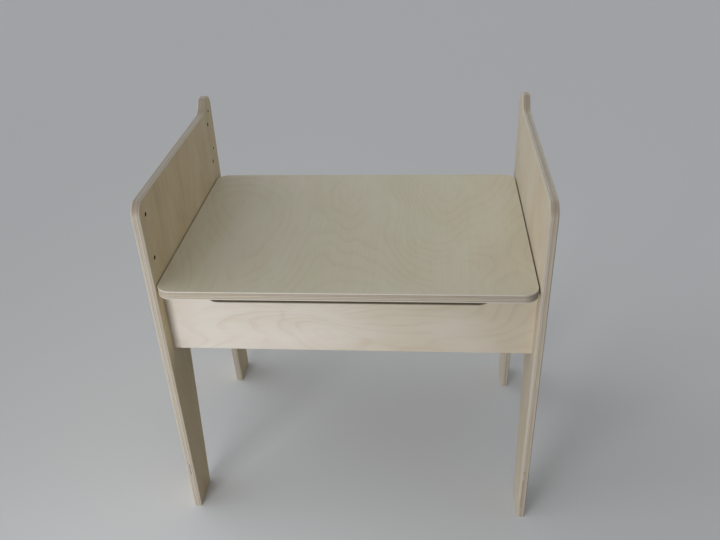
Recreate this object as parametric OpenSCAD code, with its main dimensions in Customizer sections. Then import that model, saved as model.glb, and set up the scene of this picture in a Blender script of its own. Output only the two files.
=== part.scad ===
// Child's plywood desk with a storage box under a hinged lid.
// Millimetres, +Z up, the front faces -Y. The origin is the middle of the desk's outline on the floor.

/* [Side panels] */
// Width over both side panels
overall_w = 650; // [560:5:900]
// Thickness of a side panel
panel_t = 15; // [12:1:21]
// Depth of a side panel from front edge to rear edge
panel_d = 470; // [420:5:620]
// Height of the straight top edge above the floor
shoulder_h = 660; // [580:5:800]
// Radius of the front top corner
shoulder_r = 25; // [10:1:45]
// Rise of the rear horn above the top edge
horn_rise = 23; // [17:1:32]
// Hollow radius where the top edge sweeps up to the horn
horn_sweep_r = 30; // [22:1:45]
// Round radius on the front of the horn
horn_front_r = 12; // [8:1:16]
// Round radius on the rear of the horn
horn_rear_r = 20; // [8:1:28]
// Length of the flat on top of the horn
horn_flat = 9; // [4:1:20]
// Width of a leg at the floor
foot_w = 70; // [50:1:90]
// Width that a leg gains between the floor and the arch
leg_flare = 38; // [10:1:50]
// Height of the arch between the legs
arch_h = 350; // [250:5:365]
// Corner radius of the arch
arch_r = 25; // [10:1:50]

/* [Storage box] */
// Height of the lower edge of the front and back boards
box_z = 371; // [367:1:400]
// Height of the front board
front_h = 128; // [115:1:160]
// Thickness of the front and back boards
board_t = 15; // [13:1:18]
// Distance of the front board behind the panels' front edges
setback = 27; // [16:1:40]
// Length of the finger slot in the front board's top edge
slot_l = 484; // [200:2:500]
// Depth of the finger slot
slot_depth = 31; // [26:1:40]
// Corner radius of the finger slot
slot_r = 25; // [8:1:26]
// Thickness of the bottom panel
bottom_t = 9; // [6:1:10]
// Height of the bottom panel above the boards' lower edges
bottom_rise = 8; // [6:1:12]
// Depth of the grooves that hold the bottom panel
groove_d = 6; // [4:0.5:7]

/* [Lid] */
// Thickness of the lid
lid_t = 15; // [12:1:18]
// Overhang of the lid in front of the panels' front edges
lid_nose = 14; // [0:1:25]
// Corner radius of the lid
lid_r = 25; // [8:1:45]
// Angle at which the open lid comes to rest on the back board's top edge
open_angle = 95; // [94:0.5:100]

/* [Hinges] */
// Length of a hinge
hinge_l = 50; // [44:1:70]
// Distance of each hinge's middle from the nearer side panel
hinge_inset = 110; // [40:5:190]
// Width of a leaf from the pin to its free edge
leaf_w = 18; // [16:0.5:22]
// Thickness of a leaf
leaf_t = 1.3; // [1:0.1:1.6]
// Outside diameter of a knuckle
knuckle_d = 5; // [4.6:0.1:6]
// Number of knuckles on one hinge
knuckles = 5; // [3, 5]
// Diameter of a hinge pin
pin_d = 2.4; // [1.8:0.1:2.6]
// Distance between the outer screws of a leaf
screw_pitch = 34; // [30:1:36]
// Distance of the outer screws from the leaf's free edge
screw_edge = 5; // [4:0.5:6]
// Distance of the middle screw from the row of the outer ones
screw_stagger = 4; // [0:0.5:5]
// Shank diameter of a hinge screw
screw_d = 3; // [2.4:0.1:3.2]
// Head diameter of a hinge screw
screw_head_d = 6; // [5:0.1:6.4]
// Length of a hinge screw
screw_l = 12; // [8:0.5:12]

/* [Fasteners] */
// Shank diameter of a connector bolt
bolt_d = 6; // [5:0.5:6]
// Length of a connector bolt under its head
bolt_l = 50; // [44:1:52]
// Head diameter of a connector bolt
bolt_head_d = 15; // [12:0.5:17]
// Head thickness of a connector bolt
bolt_head_t = 2; // [1.6:0.1:3]
// Width across flats of the hexagon socket
socket_af = 4; // [3:0.5:4]
// Depth of the hexagon socket
socket_depth = 3; // [2:0.5:4]
// Clearance hole for a connector bolt in a side panel
bolt_hole_d = 7; // [6.8:0.1:8]
// Height of the lower bolts above the boards' lower edges
bolt_low = 30; // [28:1:36]
// Depth of the upper bolts below the boards' top edges
bolt_high = 20; // [14:1:26]
// Distance of a barrel nut's axis from the end of its board
nut_inset = 27; // [22:1:30]
// Diameter of a barrel nut
nut_d = 10; // [9:0.5:10]
// Length of a barrel nut
nut_l = 12; // [11:0.5:12]
// Diameter of a wooden dowel
dowel_d = 8; // [6:0.5:8]
// Length of a wooden dowel
dowel_l = 30; // [24:1:40]
// Depth that a dowel enters a side panel
dowel_in = 10; // [8:0.5:11]

/* [Accessory holes] */
// Diameter of the four bolt holes in the left side panel
row_hole_d = 7; // [5:0.5:9]
// Distance of the front holes from the front edge
row_front = 25; // [18:1:60]
// Distance of the rear holes from the rear edge
row_rear = 42; // [32:1:80]
// Drop of the upper row below the top edge
row_drop = 27; // [22:1:40]
// Distance between the upper and the lower row
row_pitch = 78; // [50:1:100]
// Diameter of the two peg holes
peg_hole_d = 5; // [4:0.5:7]
// Distance of the peg holes from the rear edge
peg_rear = 26; // [14:1:28]
// Height of each peg hole above its row
peg_rise = 22; // [16:1:24]

/* [Clearances] */
// Gap between the lid and each side panel
lid_side_gap = 2; // [1:0.5:6]
// Gap between the lid's rear edge and the back board
lid_rear_gap = 4; // [3:0.5:8]
// Gap between the open lid and the back board's top edge
rest_gap = 0.3; // [0.2:0.05:0.6]
// Gap at the end of a groove
groove_end_gap = 0.5; // [0.2:0.1:1]
// Gap above the bottom panel in its grooves
groove_top_gap = 0.2; // [0.1:0.05:0.4]
// Side play between neighbouring knuckles
knuckle_gap = 0.3; // [0.2:0.05:0.6]
// Gap between a knuckle and the wood beside it
knuckle_wood_gap = 0.3; // [0.2:0.05:0.6]
// Radial running clearance of a hinge pin
pin_gap = 0.05; // [0.03:0.01:0.08]
// Radial clearance of a screw, bolt, nut or dowel that is held tight
fit_gap = 0.05; // [0.03:0.01:0.08]
// Radial room around a bolt in the end of a board
bolt_bore_gap = 0.5; // [0.4:0.1:0.9]
// Room past the tip of a screw, bolt or dowel
tip_gap = 1; // [0.5:0.1:2]

/* [Hidden] */
$fn = 64;
over = 1;
bulge = 0.02;
inner_w = overall_w - 2 * panel_t;
front_y = (lid_nose - panel_d) / 2;
rear_y = front_y + panel_d;
lid_z = box_z + front_h;
board_y = front_y + setback;
back_y = rear_y - board_t;
top_h = shoulder_h + horn_rise;
climb_sin = 0.8;
climb_cos = 0.6;
round_sum = horn_sweep_r + horn_front_r;
climb_l = (horn_rise - round_sum * (1 - climb_cos)) / climb_sin;
horn_u = panel_d - horn_rear_r - horn_flat;
sweep_u = horn_u - round_sum * climb_sin - climb_l * climb_cos;
horn_tip_u = horn_u - horn_front_r * (1 - climb_cos) / climb_sin;
horn_cut_r = horn_front_r + over;
lean_a = atan(leg_flare / arch_h);
arch_cz = arch_h - arch_r;
arch_cu = foot_w + arch_cz * tan(lean_a) + (arch_r - bulge) / cos(lean_a);
leg_strip_l = arch_h / cos(lean_a) + over;
bottom_z = box_z + bottom_rise;
groove_h = bottom_t + groove_top_gap;
grip = groove_d - groove_end_gap;
lid_w = inner_w - 2 * lid_side_gap;
hinge_x = inner_w / 2 - hinge_inset;
lid_front = front_y - lid_nose;
lid_rear = back_y - lid_rear_gap;
knuckle_r = knuckle_d / 2;
seat = knuckle_r + knuckle_wood_gap;
axis_y = back_y - seat;
axis_z = lid_z - seat;
back_top = axis_z + (axis_y - lid_rear) * sin(open_angle) + (seat + lid_t) * cos(open_angle) - rest_gap;
back_h = back_top - box_z;
knuckle_l = hinge_l / knuckles;
leaf_hole_v = leaf_w - screw_edge;
screw_head_h = (screw_head_d - screw_d) / 2;
recess_w = screw_head_d / 2;
recess_t = screw_d / 4;
nut_depth = (board_t + nut_l) / 2;
board_mid_f = board_y + board_t / 2;
board_mid_b = back_y + board_t / 2;
bolt_lo_z = box_z + bolt_low;
bolt_hi_f = lid_z - bolt_high;
bolt_hi_b = back_top - bolt_high;
dowel_z_f = (bolt_lo_z + bolt_hi_f) / 2;
dowel_z_b = (bolt_lo_z + bolt_hi_b) / 2;
bolt_bore_l = bolt_l - panel_t + tip_gap;
dowel_bore_l = dowel_l - dowel_in + tip_gap;
row_us = [row_front, panel_d - row_rear];
row_zs = [shoulder_h - row_drop, shoulder_h - row_drop - row_pitch];
peg_u = panel_d - peg_rear;
ply = [0.87, 0.80, 0.67];
beech = [0.80, 0.65, 0.47];
zinc = [0.74, 0.75, 0.77];
bright = [0.62, 0.64, 0.67];

// Everything outside a rounded corner: the corner points away from the origin, along sx and sy
module corner_cut(r, sx, sy) {
    difference() {
        translate([sx > 0 ? 0 : -r - over, sy > 0 ? 0 : -r - over])
            square([r + over, r + over]);
        circle(r);
    }
}

// The front part of the gap between the legs: the leg's slanted inner edge and the arch's corner.
// The round bulges past the slanted edge by a hair, so that the two cross cleanly.
module arch_front() {
    translate([arch_cu, arch_cz]) {
        circle(arch_r);
        rotate(-lean_a)
            translate([bulge - arch_r, -leg_strip_l])
                square([arch_r, leg_strip_l]);
    }
}

// The gap between the legs, open at the floor
module arch_outline() {
    arch_front();
    translate([panel_d, 0])
        mirror([1, 0])
            arch_front();
    polygon([
        [foot_w + arch_r / 2, -over],
        [arch_cu - arch_r / 2, arch_cz],
        [arch_cu, arch_h],
        [panel_d - arch_cu, arch_h],
        [panel_d - arch_cu + arch_r / 2, arch_cz],
        [panel_d - foot_w - arch_r / 2, -over]]);
}

// What the round on the front of the horn cuts away, seen from the round's centre
module horn_front_cut() {
    difference() {
        polygon([
            [0, 0],
            [-horn_cut_r * climb_sin, horn_cut_r * climb_cos],
            [-horn_cut_r * climb_sin, horn_cut_r],
            [0, horn_cut_r]]);
        circle(horn_front_r);
    }
}

// A side panel's outline: x runs from the front edge to the rear edge, y runs up from the floor
module panel_outline() {
    difference() {
        polygon([
            [0, 0],
            [0, shoulder_h],
            [sweep_u, shoulder_h],
            [sweep_u + horn_sweep_r * climb_sin, shoulder_h + horn_sweep_r * (1 - climb_cos)],
            [horn_tip_u, top_h],
            [panel_d, top_h],
            [panel_d, 0]]);
        translate([sweep_u, shoulder_h + horn_sweep_r])
            circle(horn_sweep_r);
        translate([horn_u, top_h - horn_front_r])
            horn_front_cut();
        translate([shoulder_r, shoulder_h - shoulder_r])
            corner_cut(shoulder_r, -1, 1);
        translate([panel_d - horn_rear_r, top_h - horn_rear_r])
            corner_cut(horn_rear_r, 1, 1);
        arch_outline();
    }
}

// A cylinder along +X from x0
module rod_x(x0, y, z, d, l) {
    translate([x0, y, z])
        rotate([0, 90, 0])
            cylinder(d = d, h = l);
}

// Puts the part of the right side on the side sx
module on_side(sx) {
    if (sx < 0)
        mirror([1, 0, 0])
            children();
    else
        children();
}

// Bolt holes, dowel holes and the groove that a side panel has for the boards, on the right side
module panel_joinery() {
    for (z = [bolt_lo_z, bolt_hi_f])
        rod_x(inner_w / 2 - over, board_mid_f, z, bolt_hole_d, panel_t + 2 * over);
    for (z = [bolt_lo_z, bolt_hi_b])
        rod_x(inner_w / 2 - over, board_mid_b, z, bolt_hole_d, panel_t + 2 * over);
    rod_x(inner_w / 2 - over, board_mid_f, dowel_z_f, dowel_d + 2 * fit_gap, dowel_in + tip_gap + over);
    rod_x(inner_w / 2 - over, board_mid_b, dowel_z_b, dowel_d + 2 * fit_gap, dowel_in + tip_gap + over);
    translate([inner_w / 2 - over, board_y + board_t - groove_d, bottom_z])
        cube([groove_d + over, back_y - board_y - board_t + 2 * groove_d, groove_h]);
}

// Side panel on the side sx
module panel_body(sx) {
    on_side(sx)
        difference() {
            translate([inner_w / 2, front_y, 0])
                rotate([90, 0, 90])
                    linear_extrude(panel_t)
                        panel_outline();
            panel_joinery();
        }
}

// The left panel has six more holes, drilled right through
module side_panel_left() {
    color(ply)
        difference() {
            panel_body(-1);
            for (u = row_us, z = row_zs)
                rod_x(-overall_w / 2 - over, front_y + u, z, row_hole_d, panel_t + 2 * over);
            for (z = row_zs)
                rod_x(-overall_w / 2 - over, front_y + peg_u, z + peg_rise, peg_hole_d, panel_t + 2 * over);
        }
}

module side_panel_right() {
    color(ply)
        panel_body(1);
}

// Bores in both ends of a board for its bolts, nuts and dowels; the nuts go in from the side ny
module board_bores(mid_y, ny, bolt_zs, dowel_z) {
    for (sx = [-1, 1])
        on_side(sx) {
            for (z = bolt_zs) {
                rod_x(inner_w / 2 - bolt_bore_l, mid_y, z, bolt_d + 2 * bolt_bore_gap, bolt_bore_l + over);
                translate([inner_w / 2 - nut_inset, mid_y + ny * board_t / 2, z])
                    rotate([90, 0, 0])
                        translate([0, 0, ny > 0 ? -over : -nut_depth])
                            cylinder(d = nut_d + 2 * fit_gap, h = nut_depth + over);
            }
            rod_x(inner_w / 2 - dowel_bore_l, mid_y, dowel_z, dowel_d + 2 * fit_gap, dowel_bore_l + over);
        }
}

// The finger slot, open at the top
module slot_outline() {
    for (x = [slot_r - slot_l / 2, slot_l / 2 - slot_r])
        translate([x, slot_r])
            circle(slot_r);
    translate([slot_r - slot_l / 2, 0])
        square([slot_l - 2 * slot_r, slot_depth + over]);
    translate([-slot_l / 2, slot_r])
        square([slot_l, slot_depth + over - slot_r]);
}

module front_board() {
    color(ply)
        difference() {
            translate([-inner_w / 2, board_y, box_z])
                cube([inner_w, board_t, front_h]);
            translate([0, board_y + board_t + over, lid_z - slot_depth])
                rotate([90, 0, 0])
                    linear_extrude(board_t + 2 * over)
                        slot_outline();
            translate([-inner_w / 2 - over, board_y + board_t - groove_d, bottom_z])
                cube([inner_w + 2 * over, groove_d + over, groove_h]);
            board_bores(board_mid_f, 1, [bolt_lo_z, bolt_hi_f], dowel_z_f);
        }
}

module back_board() {
    color(ply)
        difference() {
            translate([-inner_w / 2, back_y, box_z])
                cube([inner_w, board_t, back_h]);
            translate([-inner_w / 2 - over, back_y - over, bottom_z])
                cube([inner_w + 2 * over, groove_d + over, groove_h]);
            board_bores(board_mid_b, -1, [bolt_lo_z, bolt_hi_b], dowel_z_b);
            for (sx = [-1, 1])
                at_hinge(sx)
                    fixed_frame()
                        leaf_screw_places()
                            screw_hole();
        }
}

module bottom_panel() {
    color(ply)
        translate([-inner_w / 2 - grip, board_y + board_t - grip, bottom_z])
            cube([inner_w + 2 * grip, back_y - board_y - board_t + 2 * grip, bottom_t]);
}

module lid() {
    color(ply)
        difference() {
            translate([0, 0, lid_z])
                linear_extrude(lid_t)
                    lid_outline();
            for (sx = [-1, 1])
                at_hinge(sx)
                    moving_frame()
                        leaf_screw_places()
                            screw_hole();
        }
}

// The lid seen from above
module lid_outline() {
    difference() {
        translate([-lid_w / 2, lid_front])
            square([lid_w, lid_rear - lid_front]);
        for (sx = [-1, 1]) {
            translate([sx * (lid_w / 2 - lid_r), lid_front + lid_r])
                corner_cut(lid_r, sx, -1);
            translate([sx * (lid_w / 2 - lid_r), lid_rear - lid_r])
                corner_cut(lid_r, sx, 1);
        }
    }
}

// A hinge's middle on the hinge line
module at_hinge(sx) {
    translate([sx * hinge_x, axis_y, axis_z])
        children();
}

// Leaf frame: x along the pin, y out to the free edge, z towards the wood that the leaf seats on
module moving_frame() {
    mirror([0, 1, 0])
        children();
}

module fixed_frame() {
    rotate([-90, 0, 0])
        children();
}

// The three screw places of a leaf, on the face of the leaf away from the wood
module leaf_screw_places() {
    for (i = [-1, 0, 1])
        translate([i * screw_pitch / 2, leaf_hole_v - (i == 0 ? screw_stagger : 0), seat - leaf_t])
            children();
}

// Countersunk hole for one screw, through the leaf and into the wood
module screw_hole() {
    translate([0, 0, -over])
        cylinder(d = screw_d + 2 * fit_gap, h = screw_l + tip_gap + over);
    cylinder(d1 = screw_head_d + 2 * fit_gap, d2 = screw_d + 2 * fit_gap, h = screw_head_h);
}

// One leaf with every other knuckle; first is 0 for the leaf that has the outer knuckles
module leaf(first) {
    difference() {
        union() {
            translate([-hinge_l / 2, 0, seat - leaf_t])
                cube([hinge_l, leaf_w, leaf_t]);
            for (i = [first : 2 : knuckles - 1])
                knuckle(i, knuckle_r, 0, knuckle_gap / 2);
            for (i = [first : 2 : knuckles - 1])
                translate([knuckle_x(i) + knuckle_gap / 2, 0, 0])
                    cube([knuckle_l - knuckle_gap, leaf_t, seat - leaf_t / 2]);
        }
        for (i = [1 - first : 2 : knuckles - 1])
            knuckle(i, knuckle_r + knuckle_wood_gap + leaf_t, over, -knuckle_gap / 2);
        rod_x(-hinge_l / 2 - over, 0, 0, pin_d + 2 * pin_gap, hinge_l + 2 * over);
        leaf_screw_places()
            screw_hole();
    }
}

// Where knuckle i starts
function knuckle_x(i) = i * knuckle_l - hinge_l / 2;

// A knuckle's cylinder, shortened by trim at each end; ends of the hinge are cut long by extra
module knuckle(i, r, extra, trim) {
    rod_x(knuckle_x(i) + trim - (i == 0 ? extra : 0), 0, 0, 2 * r,
        knuckle_l - 2 * trim + (i == 0 || i == knuckles - 1 ? extra : 0));
}

// A countersunk screw with a cross recess, its head flush with the leaf
module hinge_screw() {
    difference() {
        union() {
            cylinder(d1 = screw_head_d, d2 = screw_d, h = screw_head_h);
            cylinder(d = screw_d, h = screw_l);
        }
        for (a = [0, 90])
            rotate([0, 0, a])
                translate([-recess_w / 2, -recess_t / 2, -over])
                    cube([recess_w, recess_t, screw_head_h / 2 + over]);
    }
}

module leaf_screws() {
    leaf_screw_places()
        hinge_screw();
}

module hinge_pin() {
    rod_x(-hinge_l / 2, 0, 0, pin_d, hinge_l);
}

module hinge_leaf_fixed_left() {
    color(zinc)
        at_hinge(-1)
            fixed_frame()
                leaf(0);
}

module hinge_leaf_fixed_right() {
    color(zinc)
        at_hinge(1)
            fixed_frame()
                leaf(0);
}

module hinge_leaf_moving_left() {
    color(zinc)
        at_hinge(-1)
            moving_frame()
                leaf(1);
}

module hinge_leaf_moving_right() {
    color(zinc)
        at_hinge(1)
            moving_frame()
                leaf(1);
}

module hinge_pin_left() {
    color(bright)
        at_hinge(-1)
            hinge_pin();
}

module hinge_pin_right() {
    color(bright)
        at_hinge(1)
            hinge_pin();
}

module hinge_screws_back_board() {
    color(zinc)
        for (sx = [-1, 1])
            at_hinge(sx)
                fixed_frame()
                    leaf_screws();
}

module hinge_screws_lid() {
    color(zinc)
        for (sx = [-1, 1])
            at_hinge(sx)
                moving_frame()
                    leaf_screws();
}

// A flat-headed connector bolt on the right side, its head on the side panel's outer face
module connector_bolt(y, z) {
    difference() {
        union() {
            rod_x(overall_w / 2, y, z, bolt_head_d, bolt_head_t);
            rod_x(overall_w / 2 - bolt_l, y, z, bolt_d, bolt_l + over);
        }
        translate([overall_w / 2 + bolt_head_t - socket_depth, y, z])
            rotate([0, 90, 0])
                cylinder(d = socket_af / cos(30), h = socket_depth + over, $fn = 6);
    }
}

module connector_bolts(sx) {
    color(zinc)
        on_side(sx) {
            for (z = [bolt_lo_z, bolt_hi_f])
                connector_bolt(board_mid_f, z);
            for (z = [bolt_lo_z, bolt_hi_b])
                connector_bolt(board_mid_b, z);
        }
}

module connector_bolts_left() {
    connector_bolts(-1);
}

module connector_bolts_right() {
    connector_bolts(1);
}

// Barrel nuts of one board, each with a cross hole for its bolt
module barrel_nuts(mid_y, bolt_zs) {
    color(bright)
        for (sx = [-1, 1], z = bolt_zs)
            on_side(sx)
                difference() {
                    translate([inner_w / 2 - nut_inset, mid_y + nut_l / 2, z])
                        rotate([90, 0, 0])
                            cylinder(d = nut_d, h = nut_l);
                    rod_x(inner_w / 2 - nut_inset - nut_d, mid_y, z, bolt_d + 2 * fit_gap, 2 * nut_d);
                }
}

module barrel_nuts_front_board() {
    barrel_nuts(board_mid_f, [bolt_lo_z, bolt_hi_f]);
}

module barrel_nuts_back_board() {
    barrel_nuts(board_mid_b, [bolt_lo_z, bolt_hi_b]);
}

// The dowels in both ends of one board
module dowels(mid_y, z) {
    color(beech)
        for (sx = [-1, 1])
            on_side(sx)
                rod_x(inner_w / 2 + dowel_in - dowel_l, mid_y, z, dowel_d, dowel_l);
}

module dowels_front_board() {
    dowels(board_mid_f, dowel_z_f);
}

module dowels_back_board() {
    dowels(board_mid_b, dowel_z_b);
}

side_panel_left();
side_panel_right();
front_board();
back_board();
bottom_panel();
lid();
hinge_leaf_fixed_left();
hinge_leaf_fixed_right();
hinge_leaf_moving_left();
hinge_leaf_moving_right();
hinge_pin_left();
hinge_pin_right();
hinge_screws_back_board();
hinge_screws_lid();
connector_bolts_left();
connector_bolts_right();
barrel_nuts_front_board();
barrel_nuts_back_board();
dowels_front_board();
dowels_back_board();
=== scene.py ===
"""Looks of a child's plywood desk with a storage box under a hinged lid.

Sizes are in millimetres in the desk's own frame: X runs from the left side panel to the right one, the
front faces -Y and Z is up. A mesh is shaped in millimetres and turned to metres when it is finished.
"""

import logging
import math
from dataclasses import dataclass
from enum import Enum
from functools import partial
from typing import Callable, NamedTuple, Sequence, Union

import bmesh
import bpy
from bmesh.types import BMEdge, BMesh, BMVert
from bpy.types import Material, Node, NodeSocket, NodeTree, Object
from mathutils import Matrix, Vector


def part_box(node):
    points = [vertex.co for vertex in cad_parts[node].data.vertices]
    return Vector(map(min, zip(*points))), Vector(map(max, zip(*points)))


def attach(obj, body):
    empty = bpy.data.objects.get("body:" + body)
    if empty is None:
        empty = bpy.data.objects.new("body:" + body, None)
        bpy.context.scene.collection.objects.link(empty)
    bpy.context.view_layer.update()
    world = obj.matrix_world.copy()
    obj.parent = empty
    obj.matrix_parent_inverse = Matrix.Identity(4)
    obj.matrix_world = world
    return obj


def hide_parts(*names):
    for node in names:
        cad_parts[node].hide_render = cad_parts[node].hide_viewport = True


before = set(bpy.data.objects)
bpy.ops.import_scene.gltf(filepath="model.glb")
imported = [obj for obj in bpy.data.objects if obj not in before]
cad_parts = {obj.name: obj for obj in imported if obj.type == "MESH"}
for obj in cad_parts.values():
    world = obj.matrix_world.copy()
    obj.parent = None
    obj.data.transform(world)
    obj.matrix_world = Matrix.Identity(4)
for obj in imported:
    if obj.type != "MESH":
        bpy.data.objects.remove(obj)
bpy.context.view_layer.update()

MM_PER_M = 1000.0
OVER = 1.0  # how far a cutter reaches past the face that it cuts
CLOSE = 1e-3  # two places nearer than this are the same
CREASE = math.radians(35)  # an edge that turns more than this is sharp
FLAT = math.radians(0.5)  # faces that turn less than this are one flat face
NOISE_ROUGH = 0.6  # how strong the finer layers of a plain noise are
EASED_STEPS = 4  # flats across a sanded edge
BROKEN_STEPS = 2  # flats across a metal part's broken edge
CORNER_STEPS = 10  # flats round a corner
SMALL_STEPS = 3  # flats round a corner of a millimetre or two
STREAK_PICK, CLOUD_PICK, BLUSH_PICK = 4.0, 9.0, 14.0  # added to a sheet's seed to pick other patterns
LOG = logging.getLogger("desk")

# settings that many shader nodes share
SMOOTH = {"interpolation_type": "SMOOTHSTEP"}
COLOUR = {"data_type": "RGBA"}
NUMBER = {"data_type": "FLOAT"}

Source = Union[Node, NodeSocket, float]
Step = tuple[float, float]
Triple = tuple[float, float, float]
Cutters = list[BMesh]


class Axis(Enum):
    """A direction of the desk's frame."""

    X = 0
    Y = 1
    Z = 2

    @property
    def vector(self) -> Vector:
        """The unit vector along this axis."""
        return Vector([float(i == self.value) for i in range(3)])


class Side(Enum):
    """Left or right, with the sign of its X."""

    LEFT = -1
    RIGHT = 1


class Body(Enum):
    """The bodies that the pieces ride on."""

    CARCASS = "carcass"
    LID = "lid_with_leaves"


class Corner(NamedTuple):
    """A corner of a sheet's outline and the radius that rounds it."""

    a: float
    b: float
    r: float


class Box(NamedTuple):
    """A CAD node's lowest and highest corner in millimetres."""

    low: Vector
    high: Vector


def node_box(name: str) -> Box:
    """Measures a CAD node in millimetres."""
    low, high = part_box(name)
    return Box(low * MM_PER_M, high * MM_PER_M)


# ---------------- shader nodes


def srgb(code: str) -> tuple[float, float, float, float]:
    """Turns an sRGB colour to Blender's linear one.

    Args:
        code: the colour as six hex digits.

    Returns:
        Linear red, green, blue and an alpha of 1.
    """
    values = [int(code[i : i + 2], 16) / 255 for i in (0, 2, 4)]
    linear = [v / 12.92 if v <= 0.04045 else ((v + 0.055) / 1.055) ** 2.4 for v in values]
    return (*linear, 1.0)


def add_node(tree: NodeTree, kind: str, inputs: Sequence | dict = (), **settings) -> Node:
    """Adds a shader node with its settings and links.

    Args:
        tree: the node tree that gets the node.
        kind: the node's type without its ShaderNode start, and after a dot its operation, if it has one.
        inputs: values, nodes or sockets, in the order of the node's usable inputs or by input name.
            A node stands for its first usable output, and None leaves an input as it is.
        **settings: properties of the node itself, set first.

    Returns:
        The new node.
    """
    kind, _, operation = kind.partition(".")
    node = tree.nodes.new("ShaderNode" + kind)
    if operation:
        node.operation = operation
    for name, value in settings.items():
        setattr(node, name, value)
    if isinstance(inputs, dict):
        pairs = [(node.inputs[name], value) for name, value in inputs.items()]
    else:
        pairs = list(zip([s for s in node.inputs if s.enabled], inputs))
    for socket, value in pairs:
        if isinstance(value, Node):
            value = next(s for s in value.outputs if s.enabled)
        if isinstance(value, NodeSocket):
            tree.links.new(value, socket)
        elif value is not None:
            socket.default_value = value
    return node


def start_material(name: str) -> tuple[Material, Callable]:
    """Starts a material.

    Args:
        name: the material's name.

    Returns:
        The empty material and the function that adds a node to it.
    """
    material = bpy.data.materials.new(name)
    material.use_nodes = True
    material.node_tree.nodes.clear()
    return material, partial(add_node, material.node_tree)


class Touch(NamedTuple):
    """A surface's roughness, what a pattern adds to it, and its relief's depth in mm and strength."""

    rough: float
    swing: float
    depth: float
    strength: float

    def finish(self, add: Callable, colour: Source, rough: Source, height: Source, **also: float) -> None:
        """Adds a material's shader and its output.

        Args:
            add: adds a node.
            colour: the node with the colour.
            rough: the node with the roughness.
            height: the pattern of the relief.
            **also: other inputs of the shader.
        """
        relief = add("Bump", {"Strength": self.strength, "Distance": self.depth / MM_PER_M, "Height": height})
        inputs = {"Base Color": colour, "Roughness": rough, "Normal": relief, **also}
        add("OutputMaterial", [add("BsdfPrincipled", inputs)])


class Pattern(NamedTuple):
    """A noise in wood: its length and width in mm, how fine and how bent it is, and its depth in mm."""

    length: float
    width: float
    detail: float = 2.0
    rough: float = 0.5
    bend: float = 0.0
    depth: float = 1.0

    def nodes(self, add: Callable, u: Source, v: Source, w: Source) -> Node:
        """Adds the pattern's nodes.

        Args:
            add: adds a node.
            u: the place along the pattern, in mm.
            v: the place across it, in mm.
            w: the place through it, or a number that picks another pattern.

        Returns:
            The noise node.
        """
        place = add("CombineXYZ", [u, v, w])
        place = add("VectorMath.MULTIPLY", [place, (1 / self.length, 1 / self.width, 1 / self.depth)])
        return add("TexNoise", [place, 1.0, self.detail, self.rough, None, self.bend])


class Mark(NamedTuple):
    """A mark that grew in a face veneer, with its sizes in mm and a rim frayed by the fibres."""

    along: float
    across: float
    length: float
    width: float
    strength: float
    rim: Step = (0.35, 1.1)
    fray: float = 0.9

    def mask(self, add: Callable, u: Source, v: Source, fibre: Source) -> Node:
        """Adds the mark's mask.

        Args:
            add: adds a node.
            u: the length along the grain.
            v: the length across it.
            fibre: the fibres' noise.

        Returns:
            A node that is 1 in the mark and 0 outside it.
        """
        du = add("Math.DIVIDE", [add("Math.SUBTRACT", [u, self.along]), self.length / 2])
        dv = add("Math.DIVIDE", [add("Math.SUBTRACT", [v, self.across]), self.width / 2])
        near = add("VectorMath.LENGTH", [add("CombineXYZ", [du, dv, 0.0])]).outputs["Value"]
        near = add("Math.ADD", [near, add("Math.MULTIPLY_ADD", [fibre, self.fray, -self.fray / 2])])
        return add("MapRange", [near, *self.rim, 1.0, 0.0], **SMOOTH)


class Tones(NamedTuple):
    """The colours of one sheet's face veneer: its lighter, its darker and its pinkish tone."""

    pale: str
    straw: str
    blush: str


class Point(NamedTuple):
    """Nodes that say where a point lies in its sheet, with lengths in mm."""

    u: Source  # along the face grain
    v: Source  # across it
    depth: Source  # from the lower face
    along: Source  # how squarely the surface faces the grain
    across: Source  # and the direction across it
    level: Source  # plies below the point, with the fraction
    crosswise: Source  # whether its ply is laid crosswise
    fibre: Source  # the fibres' noise
    edge: Source  # mask of the sheet's edge
    core: Source  # mask of that edge without the two outer plies


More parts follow.
